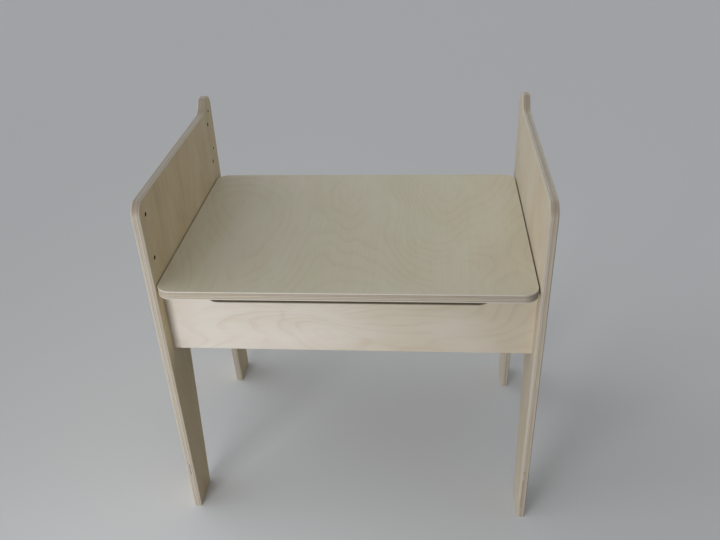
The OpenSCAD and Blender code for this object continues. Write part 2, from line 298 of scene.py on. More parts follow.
@dataclass(frozen=True)
class BirchPlywood:
    """Birch plywood of thin rotary-cut plies, sanded and finished with a clear matt lacquer.

    To the eye: pale straw faces with faint thin growth lines in nested arches, fine fibres and a trace of
    pink, and darker edges striped by the plies, which turn reddish brown where a corner cuts every ply
    across its fibres.

    A share says how strongly something covers what is below it. A step holds the two values between which
    a mask rises from nothing to full. Lengths are in mm.
    """

    node: str
    grain: Axis  # direction of the face grain
    stack: Axis  # direction through the sheet's thickness
    plies: int
    seed: float  # picks this sheet's own figure
    marks: tuple[Mark, ...] = ()
    knot: str = "7D5B45"
    tones: Tones = Tones("D6CFBD", "CCC1A8", "D3C2AE")
    tone_step: Step = (0.2, 0.8)
    # painted shade: a sheet darkens along its length as the window's light falls off
    painted_shade_drift: float = 0.0  # turn to the darker tone on each mm of length
    cloud: Pattern = Pattern(150.0, 55.0)
    blush_step: Step = (0.35, 0.8)
    blush_share: float = 0.6
    late: str = "AD9678"  # the growth lines, streaks and fibres
    growth: Pattern = Pattern(300.0, 105.0, 3.5, 0.27, 0.5)
    rings: float = 9.0  # growth lines in one size of that figure
    ring_step: Step = (0.45, 0.9)
    ring_share: float = 0.12
    patch_step: Step = (0.25, 0.6)  # the clouds in which growth lines show
    streak: Pattern = Pattern(420.0, 5.5, 3.0, 0.6)
    streak_step: Step = (0.35, 0.75)
    streak_share: float = 0.07
    fibre: Pattern = Pattern(45.0, 0.9, 4.0, 0.62)
    fibre_step: Step = (0.42, 0.78)
    fibre_share: float = 0.20
    fibre_turn: float = 0.9  # change of the fibres through a ply
    ply_turn: float = 7.3  # and from ply to ply
    waver: Pattern = Pattern(60.0, 60.0, 1.0)
    waver_d: float = 0.5  # how deep the plies wave
    edge_step: Step = (0.45, 0.85)
    skin_step: Step = (1.1, 1.6)  # end of an outer ply, in plies
    # outer plies where an edge rounds off: the pale face veneer, laid whiter as a painted highlight along the
    # arris
    skin_edge_highlight: str = "CFCBC1"
    skin_highlight_share: float = 0.6
    side_grain: str = "B5AD9E"  # a ply's edge along its fibres
    side_dark: str = "A99C8A"
    side_share: float = 0.85
    band: Pattern = Pattern(1.0, 1.0, 1.0, depth=2.6)  # a tone that 2.6 plies share
    band_step: Step = (0.37, 0.63)
    broken: Pattern = Pattern(38.0, 38.0, 2.0, 0.6)  # how a tone breaks along the edge
    broken_turn: float = 0.8  # change of the breaks from ply to ply
    broken_share: float = 1.1
    end_grain: str = "979084"  # a ply's edge across its fibres
    end_pink: str = "A28E80"
    end_step: Step = (0.25, 0.95)
    end_share: float = 0.8
    pink_step: Step = (0.4, 0.65)
    speckle: Pattern = Pattern(1.1, 1.1, 3.0, 0.7, depth=1.1)
    end_by_tone: Step = (0.7, -0.02)  # a cut edge by its ply's tone, and without it
    end_by_speckle: float = 0.55
    oblique: str = "9A806E"  # a ply's edge where a rounded corner cuts it
    oblique_step: Step = (0.1, 0.5)
    oblique_by_speckle: Step = (0.8, 0.5)  # by its speckles, and without them
    oblique_share: float = 0.45
    glue: str = "7A5A40"
    glue_w: float = 0.10
    glue_step: Step = (0.3, 1.3)  # rim of a glue line, in its widths
    glue_share: float = 0.18
    touch: Touch = Touch(0.46, 0.14, 0.12, 0.25)
    end_rough: float = 0.12  # what cut fibres add to the roughness
    end_sunk: float = 0.5  # how deep they lie in the relief
    lacquer_ior: float = 1.46

    @property
    def cross(self) -> Axis:
        """The direction across the face grain in the sheet's plane."""
        return next(a for a in Axis if a not in (self.grain, self.stack))

    @property
    def faces(self) -> Step:
        """Where the sheet's lower and upper face lie."""
        return tuple(corner[self.stack.value] for corner in node_box(self.node))

    @property
    def ply(self) -> float:
        """The thickness of one ply."""
        return (self.faces[1] - self.faces[0]) / self.plies

    def locate(self, add: Callable) -> Point:
        """Adds the nodes that say where a point lies and which ply it is in.

        Args:
            add: adds a node.

        Returns:
            Those nodes.
        """
        low, high = self.faces
        coords = add("TexCoord").outputs
        mm = add("SeparateXYZ", [add("VectorMath.MULTIPLY", [coords["Object"], (MM_PER_M,) * 3])]).outputs
        facing = add("SeparateXYZ", [add("VectorMath.ABSOLUTE", [coords["Normal"]])]).outputs
        u, v = mm[self.grain.value], mm[self.cross.value]
        depth = add("Math.SUBTRACT", [mm[self.stack.value], low])
        waver = self.waver.nodes(add, u, v, self.seed)
        waver = add("Math.MULTIPLY_ADD", [waver, self.waver_d, -self.waver_d / 2])
        level = add("Math.DIVIDE", [add("Math.ADD", [depth, waver]), self.ply])
        layer = add("Math.MAXIMUM", [add("Math.FLOOR", [level]), 0.0])
        layer = add("Math.MINIMUM", [layer, self.plies - 1.0])
        crosswise = add("Math.MODULO", [layer, 2.0])

        # the fibres run crosswise in every second ply
        pick = add("Math.MULTIPLY_ADD", [layer, self.ply_turn, self.seed])
        pick = add("Math.MULTIPLY_ADD", [depth, self.fibre_turn, pick])
        ways = [add("Mix", [crosswise, *pair], **NUMBER) for pair in ((u, v), (v, u))]
        fibre = self.fibre.nodes(add, *ways, pick)
        edge = add("MapRange", [facing[self.stack.value], *self.edge_step, 1.0, 0.0], **SMOOTH)
        skin = add("Math.MINIMUM", [depth, add("Math.SUBTRACT", [high - low, depth])])
        inner = add("MapRange", [skin, *(step * self.ply for step in self.skin_step)], **SMOOTH)
        core = add("Math.MULTIPLY", [edge, inner])
        along, across = facing[self.grain.value], facing[self.cross.value]
        return Point(u, v, depth, along, across, level, crosswise, fibre, edge, core)

    @staticmethod
    def cover(add: Callable, below: Source, above: Source, mask: Source, share: Source) -> Node:
        """Lays a colour over what is below it, as strongly as a mask times a share."""
        return add("Mix", [add("Math.MULTIPLY", [mask, share]), below, above], **COLOUR)

    def face(self, add: Callable, point: Point) -> Node:
        """Adds the face veneer: two tones, a blush, growth lines, streaks, fibres and marks.

        Args:
            add: adds a node.
            point: where the point lies.

        Returns:
            A node with the veneer's colour.
        """
        u, v, late = point.u, point.v, srgb(self.late)
        cloud = self.cloud.nodes(add, u, v, self.seed + CLOUD_PICK)
        # painted shade: the tone turns darker along the length, as the window's light falls off away from it
        tone = add("Math.MULTIPLY_ADD", [u, self.painted_shade_drift, cloud])
        tone = add("MapRange", [tone, *self.tone_step], **SMOOTH)
        colour = add("Mix", [tone, srgb(self.tones.pale), srgb(self.tones.straw)], **COLOUR)
        blush = self.cloud.nodes(add, u, v, self.seed + BLUSH_PICK)
        blush = add("MapRange", [blush, *self.blush_step], **SMOOTH)
        colour = self.cover(add, colour, srgb(self.tones.blush), blush, self.blush_share)

        # a growth line darkens slowly and ends sharply, and shows only in some clouds
        ring = add("Math.MULTIPLY", [self.growth.nodes(add, u, v, self.seed), self.rings])
        ring = add("Math.FRACT", [ring])
        fall = add("MapRange", [ring, self.ring_step[1], 1.0, 1.0, 0.0], **SMOOTH)
        ring = add("Math.MULTIPLY", [add("MapRange", [ring, *self.ring_step], **SMOOTH), fall])
        patch = add("MapRange", [cloud, *self.patch_step], **SMOOTH)
        colour = self.cover(add, colour, late, ring, add("Math.MULTIPLY", [patch, self.ring_share]))

        streak = self.streak.nodes(add, u, v, self.seed + STREAK_PICK)
        streak = add("MapRange", [streak, *self.streak_step], **SMOOTH)
        colour = self.cover(add, colour, late, streak, self.streak_share)
        dark = add("MapRange", [point.fibre, *self.fibre_step], **SMOOTH)
        colour = self.cover(add, colour, late, dark, self.fibre_share)
        for mark in self.marks:
            mask = mark.mask(add, u, v, point.fibre)
            colour = self.cover(add, colour, srgb(self.knot), mask, mark.strength)
        return colour

    def edges(self, add: Callable, point: Point, colour: Source) -> tuple[Node, Node]:
        """Adds the edges: side and end grain in turn, each ply with its own tone, broken along its length.

        Args:
            add: adds a node.
            point: where the point lies.
            colour: the node with the face veneer's colour.

        Returns:
            A node with the sheet's colour, and one with the mask of the cut fibres.
        """
        own = self.band.nodes(add, self.seed, self.seed, point.level)
        own = add("MapRange", [own, *self.band_step], **SMOOTH)
        broken = add("Math.MULTIPLY", [point.level, self.broken_turn])
        broken = self.broken.nodes(add, point.u, point.v, broken)
        tone = add("Math.MULTIPLY_ADD", [broken, self.broken_share, -self.broken_share / 2])
        tone = add("Math.ADD", [own, tone], use_clamp=True)
        # the outer plies at the arris: pale face veneer with a painted highlight laid over it
        skin = add("Math.SUBTRACT", [point.edge, point.core])
        colour = self.cover(add, colour, srgb(self.skin_edge_highlight), skin, self.skin_highlight_share)
        sides = add("Mix", [tone, srgb(self.side_dark), srgb(self.side_grain)], **COLOUR)
        colour = self.cover(add, colour, sides, point.core, self.side_share)

        # cut fibres drink more lacquer, which shows as speckles
        speckle = self.speckle.nodes(add, point.u, point.v, point.depth)
        ends = add("Mix", [point.crosswise, point.along, point.across], **NUMBER)
        ends = add("MapRange", [ends, *self.end_step], **SMOOTH)
        ends = add("Math.MULTIPLY", [ends, point.core])
        cut = add("Math.MULTIPLY_ADD", [tone, *self.end_by_tone])
        cut = add("Math.MULTIPLY_ADD", [speckle, self.end_by_speckle, cut])
        pink = add("MapRange", [broken, *self.pink_step], **SMOOTH)
        pink = add("Math.MULTIPLY", [point.crosswise, pink])
        fresh = add("Mix", [pink, srgb(self.end_grain), srgb(self.end_pink)], **COLOUR)
        colour = self.cover(add, colour, fresh, ends, add("Math.MULTIPLY", [cut, self.end_share]))

        # a rounded corner cuts the fibres of every ply
        turn = add("Math.MULTIPLY", [point.along, point.across])
        turn = add("MapRange", [turn, *self.oblique_step], **SMOOTH)
        turn = add("Math.MULTIPLY", [turn, point.core])
        turn = add("Math.MULTIPLY", [turn, add("Math.MULTIPLY_ADD", [speckle, *self.oblique_by_speckle])])
        colour = self.cover(add, colour, srgb(self.oblique), turn, self.oblique_share)

        part = add("Math.FRACT", [point.level])
        part = add("Math.MINIMUM", [part, add("Math.SUBTRACT", [1.0, part])])
        rim = [step * self.glue_w / self.ply for step in self.glue_step]
        line = add("MapRange", [part, *rim, 1.0, 0.0], **SMOOTH)
        line = add("Math.MULTIPLY", [line, point.edge])
        return self.cover(add, colour, srgb(self.glue), line, self.glue_share), ends

    def material(self) -> Material:
        """Builds the material.

        Returns:
            The sheet's material, which reads the piece's Object coordinates.
        """
        material, add = start_material(f"birch_plywood_{self.node}")
        point = self.locate(add)
        colour, ends = self.edges(add, point, self.face(add, point))
        rough = add("Math.MULTIPLY_ADD", [point.fibre, self.touch.swing, self.touch.rough])
        rough = add("Math.MULTIPLY_ADD", [ends, self.end_rough, rough])
        height = add("Math.MULTIPLY_ADD", [ends, -self.end_sunk, point.fibre])
        self.touch.finish(add, colour, rough, height, IOR=self.lacquer_ior)
        return material


@dataclass(frozen=True)
class PlainFinish:
    """A finish whose two tones, roughness and relief follow a noise."""

    name: str
    tones: tuple[str, str]
    touch: Touch
    sizes: Triple  # steps of the noise's place along X, Y and Z, in mm
    scale: float = 1.0  # the noise's scale on that place
    detail: float = 2.0
    step: tuple[float, ...] = ()  # where the noise turns from the first tone to the second
    relief_scale: float = 0.0  # scale of the relief, if it has a noise of its own
    relief_detail: float = 2.0
    metallic: float = 0.0

    def material(self) -> Material:
        """Builds the material.

        Returns:
            The material, which reads the piece's Object coordinates.
        """
        material, add = start_material(self.name)
        stretch = tuple(MM_PER_M / size for size in self.sizes)
        place = add("VectorMath.MULTIPLY", [add("TexCoord").outputs["Object"], stretch])
        noise = height = add("TexNoise", [place, self.scale, self.detail, NOISE_ROUGH])
        if self.relief_scale:
            height = add("TexNoise", [place, self.relief_scale, self.relief_detail, NOISE_ROUGH])
        tone = add("MapRange", [noise, *self.step], **SMOOTH) if self.step else noise
        colour = add("Mix", [tone, *map(srgb, self.tones)], **COLOUR)
        rough = add("Math.MULTIPLY_ADD", [noise, self.touch.swing, self.touch.rough])
        self.touch.finish(add, colour, rough, height, Metallic=self.metallic)
        return material


@dataclass(frozen=True)
class DrilledBore(PlainFinish):
    """The wall of a hole or gap in plywood: bare end grain, darkened with painted shade.

    To the eye: dull dark brown, mottled where plies alternate; much of the dark brown is painted shade inside
    the hole.
    """

    name: str = "plywood_bore_painted_shade"
    # dark browns: the bore's end grain, deepened with painted shade
    tones: tuple[str, str] = ("4E3B2C", "7C654F")
    touch: Touch = Touch(0.7, 0.1, 0.1, 0.3)
    sizes: Triple = (1.3, 1.3, 1.3)


@dataclass(frozen=True)
class ZincPlate(PlainFinish):
    """Bright zinc plating on pressed and turned steel.

    To the eye: cool light grey metal with a soft gloss, broken by faint cloudy patches from the bath.
    """

    name: str = "zinc_plate_bright"
    tones: tuple[str, str] = ("C9CCD0", "AEB2B8")
    touch: Touch = Touch(0.26, 0.16, 0.03, 0.15)
    sizes: Triple = (1.0, 1.0, 1.0)
    scale: float = 1 / 6
    detail: float = 3.0
    relief_scale: float = 2.0
    metallic: float = 1.0


@dataclass(frozen=True)
class TurnedSteel(PlainFinish):
    """Free-cutting steel turned on a lathe along X or Y and left bright.

    To the eye: darker grey metal with fine turning rings across the piece's axis.
    """

    name: str = "steel_turned"
    tones: tuple[str, str] = ("B4B7BC", "92969C")
    touch: Touch = Touch(0.2, 0.2, 0.02, 0.3)
    sizes: Triple = (0.348536, 83.3333, 83.3333)  # the rings' pitch along X, and a tone's reach across it
    metallic: float = 1.0


@dataclass(frozen=True)
class TurnedBeech(PlainFinish):
    """Plain turned beech of a dowel.

    To the eye: warm pinkish tan with short darker flecks along the dowel.
    """

    name: str = "beech_turned"
    tones: tuple[str, str] = ("D2B08A", "A87E58")
    touch: Touch = Touch(0.45, 0.2, 0.05, 0.3)
    sizes: Triple = (3.0, 0.35, 0.35)
    detail: float = 3.0
    step: tuple[float, ...] = (0.5, 0.72)


# ---------------- meshes


def sheet(corners: Sequence[Corner], plane: Axis, low: float, high: float, steps: int) -> BMesh:
    """Cuts a flat sheet along an outline with rounded corners.

    Args:
        corners: the outline's corners in order, in the plane's two axes.
        plane: the axis that the sheet's faces look along.
        low: where the lower face lies on that axis.
        high: where the upper face lies.
        steps: flats round a corner.

    Returns:
        A closed solid with square edges.
    """
    axes = [a for a in Axis if a is not plane]
    bm = bmesh.new()
    points = [c.a * axes[0].vector + c.b * axes[1].vector + low * plane.vector for c in corners]
    verts = [bm.verts.new(p) for p in points]
    bm.faces.new(verts)
    for i, (vert, corner) in enumerate(zip(verts, corners)):
        before, after = points[i - 1] - points[i], points[(i + 1) % len(points)] - points[i]
        if corner.r > 0:
            reach = corner.r / math.tan(before.angle(after) / 2)
            bmesh.ops.bevel(
                bm, geom=[vert], offset=reach, offset_type="OFFSET", segments=steps, profile=0.5,
                affect="VERTICES", material=-1, clamp_overlap=True,
            )
    grown = bmesh.ops.extrude_face_region(bm, geom=bm.faces[:])["geom"]
    upper = [g for g in grown if isinstance(g, BMVert)]
    bmesh.ops.translate(bm, verts=upper, vec=(high - low) * plane.vector)
    bmesh.ops.recalc_face_normals(bm, faces=bm.faces[:])
    return bm


def rectangle(low: Sequence[float], high: Sequence[float], radius: float = 0.0) -> list[Corner]:
    """Lists the corners of a rectangle between two opposite ones."""
    places = ((low[0], low[1]), (high[0], low[1]), (high[0], high[1]), (low[0], high[1]))
    return [Corner(a, b, radius) for a, b in places]


def round_edges(bm: BMesh, edges: Sequence[BMEdge], radius: float, steps: int) -> None:
    """Rounds some edges of a solid, each in a number of flats."""
    bmesh.ops.bevel(
        bm, geom=edges, offset=radius, offset_type="OFFSET", segments=steps, profile=0.5,
        affect="EDGES", material=-1, clamp_overlap=True, loop_slide=True,
    )


def turned(profile: Sequence[tuple[float, float]], steps: int = 32) -> BMesh:
    """Turns a solid round X.

    Args:
        profile: places along X with their radii, the first and the last with radius 0.
        steps: sides of the round.

    Returns:
        The closed solid.
    """
    bm = bmesh.new()
    verts = [bm.verts.new((x, 0.0, r)) for x, r in profile]
    edges = [bm.edges.new(pair) for pair in zip(verts, verts[1:])]
    bmesh.ops.spin(
        bm, geom=verts + edges, cent=(0, 0, 0), axis=(1, 0, 0), angle=2 * math.pi, steps=steps,
        use_merge=True,
    )
    bmesh.ops.remove_doubles(bm, verts=bm.verts[:], dist=CLOSE)
    bmesh.ops.recalc_face_normals(bm, faces=bm.faces[:])
    return bm


def drill(
    start: Vector, way: Vector, length: float, diameter: float, rim: float = 0.0, through: bool = False
) -> BMesh:
    """Makes the solid that a drill takes out.

    Args:
        start: the hole's middle on the face where the drill goes in.
        way: the direction that the drill goes.
        length: the hole's depth.
        diameter: the drill's diameter.
        rim: how far the hole's rim is eased.
        through: whether the drill comes out at the other side, where the rim is eased too.

    Returns:
        The cutter, which starts just outside the face.
    """
    r = diameter / 2
    tip = 0.3 * r
    profile = [(-OVER, 0.0), (-OVER, r + rim + OVER), (rim, r)] if rim else [(-OVER, 0.0), (-OVER, r)]
    if through:
        profile += [(length - rim, r), (length + OVER, r + rim + OVER), (length + OVER, 0.0)]
    else:
        profile += [(length, r), (length + tip, 0.0)]
    bm = turned(profile)
    turn = Vector((1, 0, 0)).rotation_difference(way).to_matrix().to_4x4()
    bmesh.ops.transform(bm, matrix=Matrix.Translation(start) @ turn, verts=bm.verts[:])
    return bm


def block(low: Vector, high: Vector) -> BMesh:
    """Makes the solid that a router takes out between two corners.

    Args:
        low: the lowest corner.
        high: the highest corner.

    Returns:
        The cutter.
    """
    bm = bmesh.new()
    bmesh.ops.create_cube(bm, size=1.0)
    bmesh.ops.scale(bm, vec=high - low, verts=bm.verts[:])
    bmesh.ops.translate(bm, vec=(low + high) / 2, verts=bm.verts[:])
    return bm


def as_object(bm: BMesh, name: str, material: Material) -> Object:
    """Turns a bmesh into an object of the scene and frees it.

    Args:
        bm: the bmesh.
        name: the object's name.
        material: its material.

    Returns:
        The object.
    """
    mesh = bpy.data.meshes.new(name)
    bm.to_mesh(mesh)
    bm.free()
    mesh.materials.append(material)
    obj = bpy.data.objects.new(name, mesh)
    bpy.context.scene.collection.objects.link(obj)
    return obj


def carve(solid: Object, cutters: Cutters, wall: Material) -> None:
    """Takes the cutters out of a solid.

    Args:
        solid: the object that is cut.
        cutters: what is cut away; they are freed.
        wall: the material of the faces that the cut bares.
    """
    tools = [as_object(bm, "cutter", wall) for bm in cutters]
    for tool in tools:
        cut = solid.modifiers.new("cut", "BOOLEAN")
        cut.operation = "DIFFERENCE"
        cut.solver = "MANIFOLD"
        cut.material_mode = "TRANSFER"
        cut.object = tool
    bpy.context.view_layer.update()
    done = solid.evaluated_get(bpy.context.evaluated_depsgraph_get())
    mesh = bpy.data.meshes.new_from_object(done)
    solid.modifiers.clear()
    solid.data = mesh
    for tool in tools:
        bpy.data.objects.remove(tool)


def finish_piece(obj: Object, body: Body, node: str) -> None:
    """Turns a piece to metres, smooths its rounds and puts it in its CAD node's place.

    Args:
        obj: the piece, in millimetres.
        body: the body that it rides on.
        node: the CAD node that it stands for.
    """
    mesh = obj.data
    mesh.transform(Matrix.Scale(1 / MM_PER_M, 4))
    mesh.name = obj.name
    mesh.polygons.foreach_set("use_smooth", [True] * len(mesh.polygons))
    mesh.set_sharp_from_angle(angle=CREASE)
    weighted = obj.modifiers.new("flat_faces_first", "WEIGHTED_NORMAL")
    weighted.keep_sharp = True
    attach(obj, body.value)
    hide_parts(node)
    LOG.info("%s: %d faces on %s", obj.name, len(mesh.polygons), body.value)


def build_sheet(
    finish: BirchPlywood, body: Body, outline: Sequence[Corner], arris: float,
    *cuts: tuple[Cutters, Material], steps: int = CORNER_STEPS, square_from: float = math.inf,
) -> None:
    """Builds a plywood sheet with sanded edges and holes, and puts it in its CAD node's place.

    Args:
        finish: its wood, which knows its node.
        body: the body that it rides on.
        outline: its corners in order, in the plane's two axes.
        arris: radius of the edges of its two faces.
        *cuts: cutters with the material of the faces that they bare.
        steps: flats round a corner of the outline.
        square_from: distance from the desk's middle in X at which a board's ends stay square.
    """
    bm = sheet(outline, finish.stack, *finish.faces, steps)
    eased = []
    for edge in bm.edges:
        a, b = (vert.co for vert in edge.verts)
        if abs((a - b).dot(finish.stack.vector)) < CLOSE and abs((a + b).x / 2) < square_from - CLOSE:
            eased.append(edge)
    round_edges(bm, eased, arris, EASED_STEPS)
    piece = as_object(bm, f"{finish.node}_ply", finish.material())
    for cutters, wall in cuts:
        carve(piece, cutters, wall)
    finish_piece(piece, body, finish.node)


def soften_node(name: str, material: Material, body: Body, width: float) -> None:
    """Puts a copy of a CAD node in its place, with its sharp edges broken as on the real part.

    Args:
        name: the node.
        material: the copy's material.
        body: the body that it rides on.
        width: the broken edge's width in millimetres.
    """
    bm = bmesh.new()
    bm.from_mesh(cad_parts[name].data)
    bmesh.ops.scale(bm, vec=(MM_PER_M,) * 3, verts=bm.verts[:])
    bmesh.ops.remove_doubles(bm, verts=bm.verts[:], dist=CLOSE)
    bmesh.ops.dissolve_limit(bm, angle_limit=FLAT, verts=bm.verts[:], edges=bm.edges[:])
    round_edges(bm, [e for e in bm.edges if e.calc_face_angle(0.0) > CREASE], width, BROKEN_STEPS)
    finish_piece(as_object(bm, f"{name}_softened", material), body, name)


# ---------------- the desk


@dataclass
class Joinery:
    """Holes for the fasteners that hold the boards between the side panels."""

    bolt_low: float = 30.0
    bolt_high: float = 20.0
    bolt_hole: float = 7.0
    nut_hole: float = 10.1
    nut_inset: float = 27.0
    nut_depth: float = 13.5
    bolt_bore_l: float = 36.0
    dowel_hole: float = 8.1
    dowel_in_panel: float = 11.0
    dowel_in_board: float = 21.0
    groove_d: float = 6.0
    groove_gap: float = 0.2
    rim: float = 0.4

    def bolt_heights(self, board: str) -> tuple[float, float]:
        """The two bolt heights of a board."""
        box = node_box(board)
        return box.low.z + self.bolt_low, box.high.z - self.bolt_high

    def dowel_height(self, board: str) -> float:
        """The height of a board's dowels, halfway between its bolts."""
        return sum(self.bolt_heights(board)) / 2

    def groove(self, low_x: float, high_x: float, low_y: float, high_y: float) -> BMesh:
        """The groove for the bottom panel between two places in X and Y."""
        low_z, high_z = (corner.z for corner in node_box("bottom_panel"))
        return block(Vector((low_x, low_y, low_z)), Vector((high_x, high_y, high_z + self.groove_gap)))

    def in_panel(self, side: Side) -> Cutters:
        """Makes the cutters of one side panel.

        Args:
            side: the panel's side.

        Returns:
            Two bolt holes and a dowel hole for each board, and the groove.
        """
        box = node_box(f"side_panel_{side.name.lower()}")
        inner = box.high.x if side is Side.LEFT else box.low.x
        thickness = box.high.x - box.low.x
        out = Vector((side.value, 0, 0))
        cutters = []
        for board in ("front_board", "back_board"):
            y = sum(c.y for c in node_box(board)) / 2
            for z in self.bolt_heights(board):
                cutters.append(drill(Vector((inner, y, z)), out, thickness, self.bolt_hole, self.rim, True))
            dowel = Vector((inner, y, self.dowel_height(board)))
            cutters.append(drill(dowel, out, self.dowel_in_panel, self.dowel_hole))
        front, back = node_box("front_board").high.y, node_box("back_board").low.y
        xs = sorted((inner - side.value * OVER, inner + side.value * self.groove_d))
        cutters.append(self.groove(*xs, front - self.groove_d, back + self.groove_d))
        return cutters

    def in_board(self, board: str, nut_side: int) -> Cutters:
        """Makes the cutters of the front or back board.

        Args:
            board: the board's node.
            nut_side: sign of the face in Y that the nuts go in from.

        Returns:
            Bolt, nut and dowel holes at both ends, and the groove.
        """
        box = node_box(board)
        mid_y = (box.low.y + box.high.y) / 2
        face_y = box.high.y if nut_side > 0 else box.low.y
        cutters = []
        for side in Side:
            end = box.high.x * side.value
            inward = Vector((-side.value, 0, 0))
            for z in self.bolt_heights(board):
                cutters.append(drill(Vector((end, mid_y, z)), inward, self.bolt_bore_l, self.bolt_hole))
                nut = Vector((end - side.value * self.nut_inset, face_y, z))
                cutters.append(drill(nut, Vector((0, -nut_side, 0)), self.nut_depth, self.nut_hole, self.rim))
            dowel = Vector((end, mid_y, self.dowel_height(board)))
            cutters.append(drill(dowel, inward, self.dowel_in_board, self.dowel_hole))
        ys = sorted((face_y + nut_side * OVER, face_y - nut_side * self.groove_d))
        cutters.append(self.groove(box.low.x - OVER, box.high.x + OVER, *ys))
        return cutters


@dataclass
class SidePanel:
    """A side panel with slanting legs, a rounded front corner and a small upswept horn at the rear."""

    side: Side
    shoulder_h: float = 660.0
    shoulder_r: float = 25.0
    horn_foot: float = 417.75
    horn_sweep_r: float = 30.0
    horn_tip: float = 435.0
    horn_front_r: float = 12.0
    horn_rear_r: float = 20.0
    foot_w: float = 70.0
    leg_flare: float = 38.0
    arch_h: float = 350.0
    arch_r: float = 25.0
    arris: float = 2.5
    plies: int = 11
    row_hole: float = 7.0
    row_front: float = 25.0
    row_rear: float = 42.0
    row_drop: float = 27.0
    row_pitch: float = 78.0
    peg_hole: float = 5.0
    peg_rear: float = 26.0
    peg_rise: float = 22.0
    rim: float = 0.3
    gap_w: float = 1.2
    gap_round: float = 0.54
    gap_depth: float = 1.0
    filled_depth: float = 0.1
    left_gaps: tuple[Triple, ...] = ((-317.5, 88.0, 98.0), (-317.5, 100.0, 114.0))
    right_gaps: tuple[Triple, ...] = ((316.0, 25.0, 98.0), (316.0, 112.0, 121.0))

    @property
    def node(self) -> str:
        """The panel's CAD node."""
        return f"side_panel_{self.side.name.lower()}"

    def outline(self) -> list[Corner]:
        """Lists the corners of the panel's outline.

        Returns:
            Corners in Y and Z, from the front foot up and round.
        """
        box = node_box(self.node)
        front, rear, top = box.low.y, box.high.y, box.high.z
        inner = self.foot_w + self.leg_flare
        return [
            Corner(front, 0, 0),
            Corner(front, self.shoulder_h, self.shoulder_r),
            Corner(front + self.horn_foot, self.shoulder_h, self.horn_sweep_r),
            Corner(front + self.horn_tip, top, self.horn_front_r),
            Corner(rear, top, self.horn_rear_r),
            Corner(rear, 0, 0),
            Corner(rear - self.foot_w, 0, 0),
            Corner(rear - inner, self.arch_h, self.arch_r),
            Corner(front + inner, self.arch_h, self.arch_r),
            Corner(front + self.foot_w, 0, 0),
        ]

    def accessory_holes(self) -> Cutters:
        """Makes the cutters of the six holes that only the left panel has.

        Returns:
            The cutters of two rows, each with two holes and a peg hole.
        """
        low, high = node_box(self.node)
        depth = high.x - low.x
        cutters = []
        for row in range(2):
            z = self.shoulder_h - self.row_drop - row * self.row_pitch
            for y in (low.y + self.row_front, high.y - self.row_rear):
                hole = Vector((low.x, y, z))
                cutters.append(drill(hole, Axis.X.vector, depth, self.row_hole, self.rim, True))
            peg = Vector((low.x, high.y - self.peg_rear, z + self.peg_rise))
            cutters.append(drill(peg, Axis.X.vector, depth, self.peg_hole, self.rim, True))
        return cutters

    def core_gaps(self) -> Cutters:
        """Makes the cutters of the short gaps that the front edge bares in an inner ply.

        Returns:
            Two open gaps low on the left leg, or a long and a short filled one on the right leg.
        """
        front, half = node_box(self.node).low.y, self.gap_w / 2
        gaps, depth = self.left_gaps, self.gap_depth
        if self.side is Side.RIGHT:
            gaps, depth = self.right_gaps, self.filled_depth
        shapes = [rectangle((x - half, low), (x + half, high), self.gap_round) for x, low, high in gaps]
        return [sheet(shape, Axis.Y, front - OVER, front + depth, SMALL_STEPS) for shape in shapes]

    def finish(self) -> BirchPlywood:
        """Picks the panel's wood, whose tones hold painted shade and light: the right panel's faces darker
        than the left's, its edges paler.

        Returns:
            The finish.
        """
        wood = partial(
            BirchPlywood, self.node, Axis.Z, Axis.X, self.plies,
            skin_highlight_share=0.8, end_share=0.5, glue_share=0.05,
        )
        if self.side is Side.RIGHT:
            # darker faces: painted shade on the panel that faces the window; paler edges: painted light where
            # the window reaches the edge less
            tones = Tones("CBC5B4", "C2B7A0", "C8B8A6")
            return wood(seed=17.4, tones=tones, side_grain="EFE6D7", side_dark="BAAC9A")
        front = node_box(self.node).low.y
        marks = (Mark(640.0, front + 83, 90.0, 3.0, 0.2), Mark(600.0, front + 213, 150.0, 3.0, 0.2))
        # paler faces: painted light on the panel whose inner face is turned from the window
        tones = Tones("EADBBB", "DFCDA6", "E7CEAD")
        return wood(seed=3.1, marks=marks, tones=tones, side_grain="CEC8BF", side_dark="A39888")

    def build(self, joinery: Joinery, wall: Material) -> None:
        """Builds and dresses the panel.

        Args:
            joinery: the holes for the fasteners.
            wall: the material of the holes' walls.
        """
        cutters = joinery.in_panel(self.side)
        cuts = [(cutters, wall)]
        if self.side is Side.LEFT:
            cutters += self.accessory_holes() + self.core_gaps()
        else:
            # to the eye: a dull ochre line, where filler closes the gap
            filler = DrilledBore("core_gap_filler_ochre", ("A88A5E", "C2A67C"))
            cuts.insert(0, (self.core_gaps(), filler.material()))
        build_sheet(self.finish(), Body.CARCASS, self.outline(), self.arris, *cuts)


